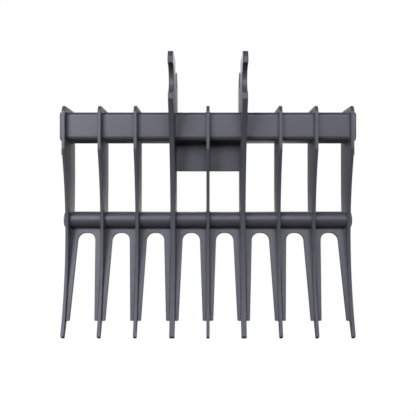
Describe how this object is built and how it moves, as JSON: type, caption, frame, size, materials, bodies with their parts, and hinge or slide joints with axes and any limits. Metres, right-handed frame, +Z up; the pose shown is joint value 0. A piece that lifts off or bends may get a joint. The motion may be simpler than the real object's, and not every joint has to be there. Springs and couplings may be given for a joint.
{
  "type": "excavator rake",
  "caption": "Welded rake for a digging machine: curved plate tines on a square and a round cross tube, arched comb plates between them, and two hooked ears for a coupler.",
  "frame": {"origin": "centre of the front hook seat, midway between the two ears", "axes": "+X to the right seen from the front, along the hook's bar; +Y to the rear; +Z up"},
  "size_m": [1.45, 0.373, 1.3606],
  "materials": {
    "paint": "satin blue-grey two-pack paint",
    "bare_mark": "satin blue-grey paint, a little darker"
  },
  "bodies": {
    "root": {"tine_left_1": "paint", "tine_left_2": "paint", "tine_left_3": "paint", "tine_right_1": "paint", "tine_right_2": "paint", "tine_right_3": "paint", "tine_centre": "paint", "ear_tine_left": "paint", "ear_tine_right": "paint", "comb_plate_left_1": "paint", "comb_plate_left_2": "paint", "comb_plate_left_3": "paint", "comb_plate_left_4": "paint", "comb_plate_right_1": "paint", "comb_plate_right_2": "paint", "comb_plate_right_3": "paint", "comb_plate_right_4": "paint", "top_tube": "paint", "lower_tube": "paint", "top_tube_cap_left": "paint", "top_tube_cap_right": "paint", "lower_tube_cap_left": "paint", "lower_tube_cap_right": "paint", "brace_plate_left": "paint", "brace_plate_right": "paint", "blank_plate_left": "bare_mark", "blank_plate_right": "bare_mark", "plate_rivets_left": "bare_mark", "plate_rivets_right": "bare_mark"}
  },
  "joints": []
}
